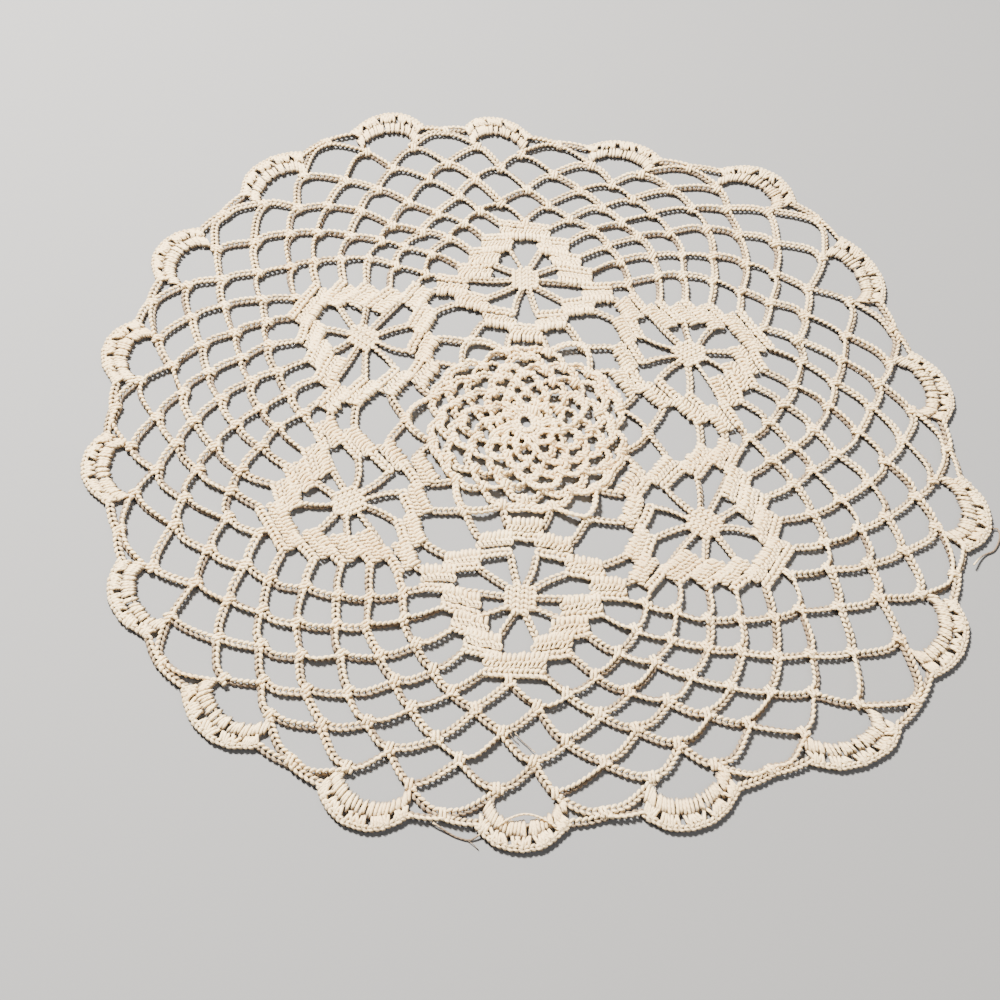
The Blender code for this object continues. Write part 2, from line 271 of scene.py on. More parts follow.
def outward(place):
    """Unit vector from the doily's middle towards a place."""
    return place / np.linalg.norm(place, axis=-1, keepdims=True)


def outline(first, shells):
    """Even places (degrees, mm) along the edge of some shells, from the one at `first`."""
    return [(even + degrees, reach) for even in first + SHELL_PITCH * np.arange(shells)
            for degrees, reach in SHELL_OUTLINE + [(PITCH, OUTLINE_BETWEEN)]]


def outline_middle():
    """Middle of the box round the doily's outline (mm), which is the frame's origin."""
    edge = [lay(reach, angle) for angle, reach in outline(FIRST_SHELL, SHELL_COUNT)]
    return (np.min(edge, axis=0) + np.max(edge, axis=0)) / 2


def share_area(number):
    """Area (mm2) of a sextant inside the doily's outline, by the shoelace rule."""
    start = FIRST_AXIS + SEXTANT * number
    near = outline(start + PITCH / 2 - SHELL_PITCH, SEXTANT_SHELLS + 2)
    edge = [lay(reach, angle) for angle, reach in near
            if start - ROUNDING <= angle <= start + SEXTANT + ROUNDING]
    x, y = np.array([np.zeros(2)] + edge).T
    return abs(np.dot(x, np.roll(y, -1)) - np.dot(y, np.roll(x, -1))) / 2


# ------------------------ courses and threads
def smooth(points, samples):
    """`samples` points on the Catmull-Rom curve through `points`, evenly stepped in parameter."""
    points = np.asarray(points, float)
    steps = np.linspace(0.0, len(points) - 1.0, samples)
    padded = np.concatenate([[2 * points[0] - points[1]], points, [2 * points[-1] - points[-2]]])
    first = np.minimum(np.floor(steps).astype(int), len(points) - 2)
    around = (padded[first + shift] for shift in range(4))
    return catmull_rom(*around, (steps - first)[:, None])


Course = namedtuple("Course", "points run")


def course(points):
    """A smooth course through points, with the length run to each of its many places."""
    fine = smooth(points, 10 * len(points) + 11)
    steps = np.linalg.norm(np.diff(fine, axis=0), axis=1)
    return Course(fine, np.concatenate([[0.0], np.cumsum(steps)]))


def places(line, run):
    """Points of a course at the given lengths, and the unit direction there.

    Past either end the course goes straight on.
    """
    def read(at):
        return np.stack([np.interp(at, line.run, line.points[:, k]) for k in range(3)], axis=-1)

    length = line.run[-1]
    inside = np.clip(run, 0.0, length)
    step = 0.02 * length
    ahead = read(np.minimum(inside + step, length)) - read(np.maximum(inside - step, 0.0))
    ahead /= np.linalg.norm(ahead, axis=-1, keepdims=True)
    return read(inside) + (run - inside)[:, None] * ahead, ahead


def carried(line, bends, roll):
    """Bends given as (run, side, height …) in mm, set along a course that is rolled by an angle.

    Side is level and to the left of the course, height is square to both, and the roll (radians,
    one number for each bend) turns side and height about the course.
    """
    place, ahead = places(line, bends[:, 0])
    side = np.cross([0.0, 0.0, 1.0], ahead)
    side /= np.linalg.norm(side, axis=1, keepdims=True)
    height = np.cross(ahead, side)
    cosine, sine = np.cos(roll)[:, None], np.sin(roll)[:, None]
    rolled_side, rolled_height = side * cosine + height * sine, height * cosine - side * sine
    return place + bends[:, 1:2] * rolled_side + bends[:, 2:3] * rolled_height


Tubes = namedtuple("Tubes", "points faces caps twist")


def tubes(paths, radius, closed=False):
    """Round threads along paths of equal length: arrays (path, sample, xyz) and (path, sample).

    Each section is a circle square to the path. It is turned as little as possible from the
    section before: the turn that a fixed reference would give is summed along the path and taken
    back. On a closed path what is left over is spread evenly, so the ends meet.
    """
    if closed:
        ahead = np.roll(paths, -1, axis=1) - np.roll(paths, 1, axis=1)
    else:
        ahead = np.gradient(paths, axis=1)
    ahead /= np.linalg.norm(ahead, axis=2, keepdims=True)
    reference = np.eye(3)[np.argmin(np.abs(ahead), axis=2)]
    across = np.cross(ahead, reference)
    across /= np.linalg.norm(across, axis=2, keepdims=True)

    def turn_between(t0, u0, t1, u1):
        """Angle at which u1 stands from u0 once u0 has been swung from direction t0 to t1."""
        swung = u0 - (t0 + t1) * np.sum(u0 * t1, -1, keepdims=True) / (
            1.0 + np.sum(t0 * t1, -1, keepdims=True))
        return np.arctan2(np.sum(np.cross(swung, u1) * t1, -1), np.sum(swung * u1, -1))

    turns = turn_between(ahead[:, :-1], across[:, :-1], ahead[:, 1:], across[:, 1:])
    count = paths.shape[1]
    total = np.concatenate([np.zeros((len(paths), 1)), np.cumsum(turns, axis=1)], axis=1)
    if closed:
        last = turn_between(ahead[:, -1], across[:, -1], ahead[:, 0], across[:, 0])
        left = total[:, -1] + last
        left = (left + np.pi) % (2 * np.pi) - np.pi
        total = total - left[:, None] * np.arange(count) / count
    other = np.cross(ahead, across)
    angle = 2 * np.pi * np.arange(SIDES) / SIDES - total[..., None]
    ring = (np.cos(angle)[..., None] * across[:, :, None]
            + np.sin(angle)[..., None] * other[:, :, None])
    points = paths[:, :, None] + radius[:, :, None, None] * ring
    rows = count if closed else count - 1
    path, row, side = np.meshgrid(np.arange(len(paths)), np.arange(rows), np.arange(SIDES),
                                  indexing="ij")

    def number(p, r, s):
        return (p * count + r % count) * SIDES + s % SIDES

    faces = np.stack([number(path, row, side), number(path, row, side + 1),
                      number(path, row + 1, side + 1), number(path, row + 1, side)], axis=-1)
    run = np.concatenate([np.zeros((len(paths), 1)), np.cumsum(
        np.linalg.norm(np.diff(paths, axis=1), axis=2), axis=1)], axis=1)
    step = run[:, 1:2]
    along = np.concatenate([run, run[:, -1:] + step], axis=1)
    along_corner = np.stack([along[path, row], along[path, row],
                             along[path, row + 1], along[path, row + 1]], axis=-1)
    round_corner = np.stack([side, side + 1, side + 1, side], axis=-1) / SIDES
    twist = np.stack([along_corner, round_corner], axis=-1)
    caps = np.zeros((0, SIDES), int)
    if not closed:
        p, s = np.meshgrid(np.arange(len(paths)), np.arange(SIDES), indexing="ij")
        caps = np.concatenate([number(p, 0, SIDES - 1 - s), number(p, count - 1, s)])
    return Tubes(points.reshape(-1, 3), faces.reshape(-1, 4), caps, twist.reshape(-1, 4, 2))


class Lace:
    """The threads worked so far for one piece of the doily."""

    def __init__(self):
        self.parts = []

    def add(self, paths, radius, closed=False):
        """Lay threads, eased up where they would pass through the table.

        A height h over the lowest that the thread's middle can be becomes
        log(1 + exp(EASE h)) / EASE. The radius is one number, or one for each place.
        """
        paths = np.array(paths, float)
        radius = np.broadcast_to(radius, paths.shape[:2])
        paths[..., 2] = radius + np.logaddexp(0.0, EASE * (paths[..., 2] - radius)) / EASE
        self.parts.append(tubes(paths, radius, closed))


# ------------------------ stitches
Bend = namedtuple("Bend", "along side height plump")

# A row of chain stitches seen as its two legs. Each leg comes up thin from the middle, swells as
# it runs out to its side over the stitch before, and dives under the next. Along is in stitches,
# side and height in shares of a half width and of CHAIN_DEPTH, plump in shares of the thread;
# the other leg is the mirror image. At the tail both legs dive to the middle.
CHAIN_LEG = [
    Bend(0.04, 0.06, -0.70, 0.75), Bend(0.28, 0.34, 0.55, 0.98), Bend(0.62, 0.78, 1.00, 1.14),
    Bend(0.96, 1.00, 0.40, 1.08), Bend(1.12, 0.72, -0.65, 0.78),
]
CHAIN_TAIL = Bend(0.0, 0.0, -0.60, 0.80)

# The two strands of a bar: one over the chain that it is worked on, and a closed ring drawn up
# through that, lying aslant. Along is the share of the bar's height, side is in bar pitches and
# height in mm.
BAR_LOWER = [
    Bend(0.03, 0.00, -0.55, 0.80), Bend(-0.04, 0.00, 0.00, 0.92), Bend(0.03, 0.00, 0.40, 1.00),
    Bend(0.14, 0.00, 0.56, 1.05), Bend(0.25, 0.02, 0.44, 1.02), Bend(0.35, 0.04, -0.30, 0.85),
]
BAR_UPPER = [
    Bend(0.30, 0.34, -0.25, 0.80), Bend(0.32, 0.10, 0.35, 1.05), Bend(0.40, -0.38, 0.58, 1.25),
    Bend(0.49, -0.50, 0.10, 0.95), Bend(0.55, -0.05, 0.10, 1.00), Bend(0.52, 0.42, 0.50, 1.25),
    Bend(0.42, 0.50, 0.15, 0.95), Bend(0.33, 0.48, -0.35, 0.80),
]
LOWER_THREAD, UPPER_THREAD = 1.18, 0.86  # mm
LOWER_LEAN, UPPER_LEAN = 0.40, 0.9  # bar pitches by which single strands lean
ROW_LEAN, ROW_FAN = 0.9, 1.6  # bar pitches by which a whole row leans and fans out
FOOT_SLIP, RING_SLIP = 0.40, 0.35  # mm up and down the bar

# The braid along the tops of a row of bars (mm; its pitch and overhang in bar pitches)
BRAID_WIDTH, BRAID_THREAD, BRAID_DROP, BRAID_SLIP, BRAID_RISE = 3.35, 1.12, 1.55, 0.2, 0.25
BRAID_PITCH, BRAID_ENDS = 1.18, 0.55
BRAID_ROLL = 0.12  # radians

# A short stitch of a shell's second row: a closed loop. Along is the share of its height, side is
# in SHELL_STITCH_PITCH and height in mm.
BODY_STITCH = [
    Bend(0.98, 0.10, 0.30, 1.0), Bend(0.50, 0.00, 0.52, 1.15), Bend(0.04, -0.10, 0.34, 1.0),
    Bend(-0.12, -0.12, -0.05, 0.9), Bend(0.50, 0.00, -0.50, 0.8), Bend(1.10, 0.12, -0.05, 0.9),
]

# A knot's winding: half its width and its step along the chain (mm), and its bends to a turn
WRAP_REACH, WRAP_STEP, WRAP_BENDS = 1.62, 1.05, 8


def raised(points, height=BED):
    """Plan points lifted to a height (mm above the table)."""
    points = np.asarray(points, float)
    return np.column_stack([points, np.broadcast_to(height, len(points))])


def flat(vector):
    """A plan vector as a unit vector in space."""
    return np.append(vector / np.linalg.norm(vector), 0.0)


def square_to(place):
    """Level unit vector square to the line from the doily's middle to a place."""
    return flat(np.array([-place[1], place[0]]))


def chain(lace, points, roll=0.0, twist=0.0, pitch=CHAIN_PITCH, width=CHAIN, thread=THREAD):
    """A row of chain stitches along a course, rolled by `roll` and twisted on by `twist` radians.

    The bends of one leg are repeated once for each stitch, and its thread runs through them
    all. The second leg mirrors the first.
    """
    line = course(points)
    length = line.run[-1]
    count = max(1, int(round(length / pitch)))
    number = np.arange(count)[:, None, None]
    bends = (np.array(CHAIN_LEG)[None] + number * np.array([1.0, 0.0, 0.0, 0.0])).reshape(-1, 4)
    bends = np.concatenate([bends, [CHAIN_TAIL._replace(along=count)]])
    bends = bends * np.array([length / count, (width - thread) / 2, CHAIN_DEPTH, thread / 2])
    turned = roll + twist * bends[:, 0] / length
    legs = [carried(line, bends * np.array([1.0, side, 1.0, 1.0]), turned) for side in (1.0, -1.0)]
    lace.add(legs, bends[:, 3])


def cord(lace, points, thickness):
    """A plain round cord along a course: a worked chain where other stitches hide it."""
    line = course(points)
    count = int(line.run[-1] / CORD_STEP) + 2
    lace.add(places(line, np.linspace(0.0, line.run[-1], count))[0][None], thickness / 2)


def strands(lace, bends, feet, tops, pitch, thread=THREAD, lean=0.0, closed=False):
    """Strands or closed rings of one kind, side by side, each set between a foot and a top (mm).

    A strand's bends are given along the way from foot to top, beside it along the row, and above
    it; `lean` adds a slant, one number for each strand, in pitches.
    """
    up = tops - feet
    row = np.gradient((feet + tops) / 2, axis=0)
    row -= up * np.sum(row * up, axis=1, keepdims=True) / np.sum(up * up, axis=1, keepdims=True)
    row /= np.linalg.norm(row, axis=1, keepdims=True)
    out = np.cross(row, up)
    out *= np.sign(out[:, 2:3]) / np.linalg.norm(out, axis=1, keepdims=True)
    bend = np.repeat(np.array(bends)[None], len(feet), axis=0)
    bend[:, :, 1] += np.reshape(lean, (-1, 1)) * (bend[:, :, 0] - 0.5)
    paths = (feet[:, None] + up[:, None] * bend[:, :, 0:1]
             + row[:, None] * bend[:, :, 1:2] * np.reshape(pitch, (-1, 1, 1))
             + out[:, None] * bend[:, :, 2:3])
    lace.add(paths, thread / 2 * bend[:, :, 3], closed)


def bars(lace, feet, tops, key):
    """A row of bars from `feet` to `tops` (mm), and the braid of their heads along the tops.

    The row leans and fans out, and each bar slips and leans, by fixed scatters of its own.
    """
    count = len(feet)
    slips = scatters(key, count, (91, 92, 93))
    pitch = np.linalg.norm(np.gradient((feet + tops) / 2, axis=0), axis=1)
    up = (tops - feet) / np.linalg.norm(tops - feet, axis=1, keepdims=True)
    feet = feet + FOOT_SLIP * slips[:, 0:1] * up
    loose = RING_SLIP * slips[:, 1:2] * up
    fan = (ROW_LEAN * scatter(key, 1, 94)
           + ROW_FAN * scatter(key, 2, 94) * np.linspace(-0.5, 0.5, count))
    strands(lace, BAR_LOWER, feet, tops, pitch, thread=LOWER_THREAD,
            lean=fan + LOWER_LEAN * slips[:, 1])
    strands(lace, BAR_UPPER, feet + loose, tops + loose, pitch, thread=UPPER_THREAD,
            lean=UPPER_LEAN * slips[:, 2], closed=True)
    braid = (tops - (BRAID_DROP + BRAID_SLIP * slips[:, 2:3]) * up
             + np.array([0.0, 0.0, BRAID_RISE]))
    step = (braid[-1] - braid[-2]) * BRAID_ENDS
    ends = np.concatenate([[braid[0] - step], braid, [braid[-1] + step]])
    chain(lace, ends, roll=BRAID_ROLL, pitch=np.mean(pitch) * BRAID_PITCH, width=BRAID_WIDTH,
          thread=BRAID_THREAD)


def wraps(lace, place, ahead, out, turns=2.2, reach_up=0.85, lean=0.5):
    """A knot: the thread wound round a chain that runs `ahead`, starting and ending outwards.

    The winding is an ellipse, WRAP_REACH mm to each side in plan and `reach_up` mm up and down.
    It is drawn out along the chain by WRAP_STEP a turn, and leans by `lean` mm. `out` is the plan
    direction that is outwards there.
    """
    phase = np.linspace(0.0, 2 * np.pi * turns, int(WRAP_BENDS * turns) + 1)
    across = np.cross([0.0, 0.0, 1.0], ahead)
    across *= np.sign(np.sum(across[:2] * out)) or 1.0
    shift = (phase / (2 * np.pi) - turns / 2) * WRAP_STEP + lean * np.cos(phase)
    path = (place + shift[:, None] * ahead
            + (WRAP_REACH * np.cos(phase))[:, None] * across
            + (reach_up * np.sin(phase))[:, None] * np.array([0.0, 0.0, 1.0]))
    lace.add(path[None], THREAD / 2)


# ------------------------ the net
BOWS = (0.120, 0.065)  # how far a half loop bows outwards: middle and spread, shares of length
BOW_AT = 0.58  # share of a half loop at which it bows most
KNOT_STEM = 0.75  # mm from a knot's middle to the loops on either side of it
BRAID_INSET = 0.9  # mm that a loop starts inside a block's braid
LOOP_HEAVE = 0.25  # mm that a loop may lie higher or lower
LOOP_ROLL, LOOP_TWIST = 0.9, 1.3  # radians
KNOT_DROP, KNOT_RISE, KNOT_LEAN = 0.35, 0.1, 0.3  # mm inwards, up, and along the chain


def net_loop(lace, row, i, start, end, top, blocks=(False, False)):
    """One chain loop: from knot to knot, its middle drawn out to the next round's knot.

    Where an end lies in the top of a block, it starts inside the block's braid.
    """
    start = start + (-BRAID_INSET if blocks[0] else KNOT_STEM) * outward(start)
    end = end + (-BRAID_INSET if blocks[1] else KNOT_STEM) * outward(end)
    top = top - KNOT_STEM * outward(top)
    middle = []
    for number, foot in enumerate((start, end)):
        half = foot + BOW_AT * (top - foot)
        share = BOWS[0] + BOWS[1] * scatter(row, i, 5 + number)
        middle.append(half + share * np.linalg.norm(top - foot) * outward(half))
    heights = BED + LOOP_HEAVE * np.array([scatter(row, i, k) for k in range(11, 16)])
    chain(lace, raised([start, middle[0], top, middle[1], end], heights),
          roll=LOOP_ROLL * scatter(row, i, 21), twist=LOOP_TWIST * scatter(row, i, 22))


def net_knot(lace, row, i):
    """The single stitch that holds knot i of a round to the loop below."""
    place = knot(row, i)
    before, after = knot(row - 1, facing(row, i - 1)), knot(row - 1, facing(row, i))
    wraps(lace, np.append(place - KNOT_DROP * outward(place), BED + KNOT_RISE),
          flat(after - before), outward(place), lean=KNOT_LEAN * scatter(row, i, 31))


def valley_net(lace, valley):
    """The net between two diamonds: each round has one knot more than the round before."""
    for row in range(FIRST_NET - 1, TIP_ROUND):
        knots = row - FIRST_NET + 1
        first = (valley * SEXTANT_LOOPS + SEXTANT_LOOPS // 2 - (knots - 1) // 2
                 - (0 if row % 2 else 1))
        for i in range(first - 1, first + knots):
            if knots:
                start, end = knot(row, i), knot(row, i + 1)
            else:
                start, end = top_corner(valley, row, 1), top_corner(valley + 1, row, -1)
            net_loop(lace, row, i, start, end, knot(row + 1, facing(row, i)),
                     blocks=(i == first - 1, i == first + knots - 1))
        for i in range(first, first + knots):
            net_knot(lace, row, i)


def net(sextants):
    """All loops and knots of the net, shared out to the sextants that they lie in.

    In the last round only the loops between two shells are chains.
    """
    for valley in range(AXES):
        valley_net(sextants[valley], valley)
    for row in range(TIP_ROUND, LAST_NET + 1):
        for i in range(LOOPS):
            lace = sextants[i // SEXTANT_LOOPS]
            if row < LAST_NET:
                net_loop(lace, row, i, knot(row, i), knot(row, i + 1),
                         knot(row + 1, facing(row, i)))
            elif i % 2:
                meeting = lay(CHAIN_BETWEEN, FIRST_AXIS + PITCH * (i + 0.5))
                net_loop(lace, row, i, knot(row, i), knot(row, i + 1),
                         meeting + KNOT_STEM * outward(meeting))
            net_knot(lace, row, i)


# ------------------------ the diamonds
def block(lace, axis, row, hand):
    """A rim block: bars side by side, from its foot to its top.

    Foot and top are straight, slope with the rim, and have each end slipped a little.
    """
    shape = BLOCKS[row]
    if FOOT_BLOCK < row < TIP_BLOCK:
        shape = shape._replace(near=shape.near - NEAR_LAP, far=shape.far + FAR_LAP)
    count = int(round((shape.far - shape.near) / BAR_PITCH))
    share = (np.arange(count) + 0.5) / count
    slips = BLOCK_SLIP * np.array([scatter(axis * 8 + row, hand, 100 + k) for k in range(4)])
    sides = (shape.near + (shape.far - shape.near) * share) * hand
    foot = shape.foot + slips[0] + (slips[1] - slips[0]) * share + sloped(row, sides)
    top = shape.top + slips[2] + (slips[3] - slips[2]) * share + sloped(row, sides)
    feet = raised(beside(axis, sides, foot - FOOT_LAP), BAR_FOOT)
    tops = raised(beside(axis, sides, top + TOP_LAP), BAR_TOP)
    bars(lace, feet, tops, key=axis * 8 + row + 50 * (hand > 0))


def spider_leg(lace, axis, hand, number):
    """A chain from the rim to the spider's body, its middle a little aside."""
    leg = LEGS[number]
    middle = np.array([leg.rim_side + leg.body_side, leg.rim_along + leg.body_along]) / 2
    middle = middle + LEG_BOW * np.array([scatter(axis, number, hand + 44),
                                          scatter(axis, number, hand + 47)])
    points = beside(axis, hand * np.array([leg.rim_side, middle[0], leg.body_side]),
                    np.array([leg.rim_along, middle[1], leg.body_along]))
    chain(lace, raised(points), roll=LEG_ROLL * scatter(axis, number, hand + 40),
          twist=scatter(axis, number, hand + 50), width=LEG_WIDTH)


def spider_body(lace, axis):
    """The close middle of a diamond: columns of chain stitches, with cords across them."""
    for number, (column, low, high) in enumerate(BODY_COLUMNS):
        slip = COLUMN_SLIP * scatter(axis, number, 60)
        points = beside(axis, np.full(4, column), np.linspace(low, high, 4) + slip)
        chain(lace, raised(points, BED + 0.15), pitch=COLUMN_PITCH, width=COLUMN_WIDTH,
              thread=COLUMN_THREAD, roll=COLUMN_ROLL * scatter(axis, number, 61))
    across = np.linspace(-BODY_CORD_HALF, BODY_CORD_HALF, 4)
    for along in BODY_CORDS:
        cord(lace, raised(beside(axis, across, np.full(4, along))), BODY_CORD)


def diamond(lace, axis):
    """One spider-web diamond: its rim blocks, and the spider with its legs."""
    block(lace, axis, FOOT_BLOCK, 1)
    block(lace, axis, TIP_BLOCK, 1)
    for hand in (1, -1):
        for row in range(FOOT_BLOCK + 1, TIP_BLOCK):
            block(lace, axis, row, hand)
        for number in range(len(LEGS)):
            spider_leg(lace, axis, hand, number)
    spider_body(lace, axis)


def valley_chains(lace, valley):
    """The chains that join two diamonds below the net, and the knot where the lowest cross."""
    middle = FIRST_AXIS + SEXTANT * (valley + 0.5)
    crossing, between = lay(CROSSING_REACH, middle), lay(VALLEY_CHAIN_REACH, middle)
    leave = [[beside(valley, side, along) for side, along in points] for points in VALLEY_CHAINS]
    reach = [[beside(valley + 1, -side, along) for side, along in reversed(points)]
             for points in VALLEY_CHAINS]
    chain(lace, raised(leave[0] + [crossing]), roll=0.4)
    chain(lace, raised([crossing] + reach[0]), roll=-0.3)
    chain(lace, raised(leave[1] + [between] + reach[1]), roll=0.2)
    chain(lace, raised(leave[2] + reach[2]))
    wraps(lace, np.append(crossing, BED + KNOT_RISE), square_to(crossing), outward(crossing),
          turns=3.0)


# ------------------------ the rosette
def rosette_angle(row, i):
    """Even angle of knot i of a rosette round: every other round sits half a loop on."""
    return FIRST_AXIS + 360.0 / ROSETTE_LOOPS * (i + (0.5 if row % 2 else 0.0))


def rosette_knot(row, i):
    """Real place of knot i of a rosette round, slipped a little."""
    reach = ROSETTE[row] + ROSETTE_SLIP * scatter(row, i % ROSETTE_LOOPS, 71)
    turn = ROSETTE_TURN / (row + 2) * scatter(row, i % ROSETTE_LOOPS, 72)
    return lay(reach, rosette_angle(row, i) + turn)


def rosette_centre(lace):
    """The ring that the rosette starts from: two circles of chain, stretched and slanted."""
    around = np.radians(np.arange(0.0, 361.0, 15.0))
    circle = np.stack([np.cos(around), np.sin(around)], axis=1)
    for reach, width in CENTRE_RINGS:
        stretched = CENTRE + reach * circle @ CENTRE_STRETCH
        chain(lace, raised(stretched, BED + 0.3), pitch=1.45, width=width, thread=1.1, roll=-0.15)


def ties(lace, axis, start, end):
    """The two short chains that hold the last loop below a diamond to its foot block."""
    corners = [beside(axis, side, TIE_REACH) for side in (TIE_SIDE, -TIE_SIDE)]
    for place, hand in ((start, 1), (end, -1)):
        held = min(corners, key=lambda point: np.linalg.norm(point - place))
        middle = (place + held) / 2 + 0.5 * outward(place)
        chain(lace, raised([place, middle, held]), roll=0.5 * hand, width=TIE_WIDTH)


def rosette_loop(lace, row, i, start, end, top):
    """One loop: its ends just outside their knots, its top just inside the next round's."""
    start, end = start + 0.5 * outward(start), end + 0.5 * outward(end)
    top = top - 0.4 * outward(top)
    middles = [(a + b) / 2 + ROSETTE_BULGE[row] * np.linalg.norm(b - a) * outward((a + b) / 2)
               for a, b in ((start, top), (top, end))]
    heights = BED + np.array(ROSETTE_HEIGHTS) * (1.0 + scatter(row, i, 73))
    chain(lace, raised([start, middles[0], top, middles[1], end], heights),
          roll=0.8 * scatter(row, i, 74), twist=scatter(row, i, 75),
          width=ROSETTE_WIDTH[row], thread=ROSETTE_THREAD)


def rosette(sextants):
    """The close middle: a ring in two rows, then rounds of loops, each held to those below.

    The last round's loops reach out to the diamonds and to the valley chains by turns.
    """
    rosette_centre(sextants[3])
    for row in range(len(ROSETTE)):
        for i in range(ROSETTE_LOOPS):
            angle = rosette_angle(row, i + 0.5)
            lace = sextants[int((angle - FIRST_AXIS) // SEXTANT) % AXES]
            start, end = rosette_knot(row, i), rosette_knot(row, i + 1)
            on_axis = int(round((angle - FIRST_AXIS) / 360.0 * ROSETTE_LOOPS)) % 2 == 0
            if row + 1 < len(ROSETTE):
                top = rosette_knot(row + 1, i + (1 if row % 2 else 0))
            elif on_axis:
                top = lay(ROSETTE[row] + 0.9, angle)
                ties(lace, int(round((angle - FIRST_AXIS) / SEXTANT)) % AXES, start, end)
            else:
                top = lay(CROSSING_REACH, angle)
            rosette_loop(lace, row, i, start, end, top)
            wraps(lace, np.append(start, BED + 0.3), square_to(start), outward(start),
                  turns=1.5, reach_up=1.15)


# ------------------------ the edge
SHELL_BARS = 31
SHELL_GROUP = 6  # short stitches to a group; a small hole is left between two groups
SHELL_GATHER = 0.22  # bars by which each is drawn in, for each place from its group's middle
SHELL_BAR_REACH = (1.40, 0.25)  # middle and spread, in shell depths; a bar fills a third of it
SHELL_STITCH = (0.50, 0.88)  # where the short stitches start and end, in shell depths
SHELL_SLIPS = (0.25, 0.15, 0.5)  # mm: of the bars, the rim and the short stitches
SHELL_LEANS = (1.3, 1.5)  # pitches: of the bars and the short stitches
SHELL_THREADS = (0.98, 0.92, 0.88)  # mm: of the bars, the short stitches and the rim
SHELL_STITCH_PITCH = 1.2  # mm
SHELL_RIM_WIDTH, SHELL_RIM_PITCH, SHELL_RIM_INSET = 2.1, 1.45, 0.95  # mm
SHELL_CORD, SHELL_CORD_OUT = 1.1, 0.7  # mm: the cord that the bars are worked over
EDGE_INSET, EDGE_TURN, EDGE_OUT = 1.0, 0.4, 1.6  # mm, degrees and mm: the chain between shells


def read_row(points, steps):
    """Plan places at some steps along a row of points; step 2.5 is half way from 2 to 3."""
    number = np.arange(len(points))
    return np.stack([np.interp(steps, number, points[:, k]) for k in range(2)], axis=1)


def shell(lace, even, key):
    """An edge shell: a fan of bars over a loop of the net, and a second row along its rim."""
    foot = lay(*np.array([(reach, even + degrees) for degrees, reach in SHELL_FOOT]).T)
    rim = lay(*np.array([(reach, even + degrees) for degrees, reach in SHELL_OUTLINE]).T)
    loop = int(round((even - FIRST_SHELL) / PITCH))
    held = np.concatenate([[knot(LAST_NET, loop)], foot + SHELL_CORD_OUT * outward(foot),
                           [knot(LAST_NET, loop + 1)]])
    cord(lace, raised(held, BED - 0.1), SHELL_CORD)

    foot, rim = smooth(foot, SHELL_BARS), smooth(rim, SHELL_BARS)
    slips = scatters(key, SHELL_BARS, (95, 96, 97))
    up = (rim - foot) / np.linalg.norm(rim - foot, axis=1, keepdims=True)
    foot = foot + SHELL_SLIPS[0] * slips[:, 0:1] * up
    rim = rim + SHELL_SLIPS[1] * slips[:, 1:2] * up
    depth = rim - foot
    tops = foot + (SHELL_BAR_REACH[0] + SHELL_BAR_REACH[1] * slips[:, 2:3]) * depth
    pitch = np.linalg.norm(np.gradient(foot + 0.4 * depth, axis=0), axis=1)
    strands(lace, BAR_LOWER, raised(foot), raised(tops), pitch, thread=SHELL_THREADS[0],
            lean=SHELL_LEANS[0] * slips[:, 1])

    number = np.arange(SHELL_BARS - 1)
    steps = number + 0.5 + SHELL_GATHER * ((SHELL_GROUP - 1) / 2 - number % SHELL_GROUP)
    stitch_feet, stitch_tops = (read_row(foot + share * depth, steps) for share in SHELL_STITCH)
    stitch_tops = stitch_tops + SHELL_SLIPS[2] * slips[1:, 1:2] * up[1:]
    strands(lace, BODY_STITCH, raised(stitch_feet, BED + 0.15), raised(stitch_tops, BED + 0.1),
            SHELL_STITCH_PITCH, thread=SHELL_THREADS[1], lean=SHELL_LEANS[1] * slips[1:, 0],
            closed=True)
    chain(lace, raised(rim - SHELL_RIM_INSET * up, BED + 0.1), roll=0.2, pitch=SHELL_RIM_PITCH,
          width=SHELL_RIM_WIDTH, thread=SHELL_THREADS[2])


def edge(sextants):
    """Eighteen shells, and the chain that runs from shell to shell."""
    (first_turn, first_reach), (last_turn, last_reach) = SHELL_OUTLINE[0], SHELL_OUTLINE[-1]
    for number in range(SHELL_COUNT):
        even = FIRST_SHELL + SHELL_PITCH * number
        lace = sextants[number // SEXTANT_SHELLS]
        shell(lace, even, number)
        meeting = lay(CHAIN_BETWEEN + EDGE_OUT, even + PITCH)
        start = lay(last_reach - EDGE_INSET, even + last_turn - EDGE_TURN)
        end = lay(first_reach - EDGE_INSET, even + SHELL_PITCH + first_turn + EDGE_TURN)
        for a, b, use in ((start, meeting, 1), (meeting, end, 2)):
            middle = (a + b) / 2 + 0.4 * outward((a + b) / 2)
            chain(lace, raised([a, middle, b]), roll=0.8 * scatter(number, use, 81))
        wraps(lace, np.append(meeting - outward(meeting), BED + KNOT_RISE), square_to(meeting),
              outward(meeting))


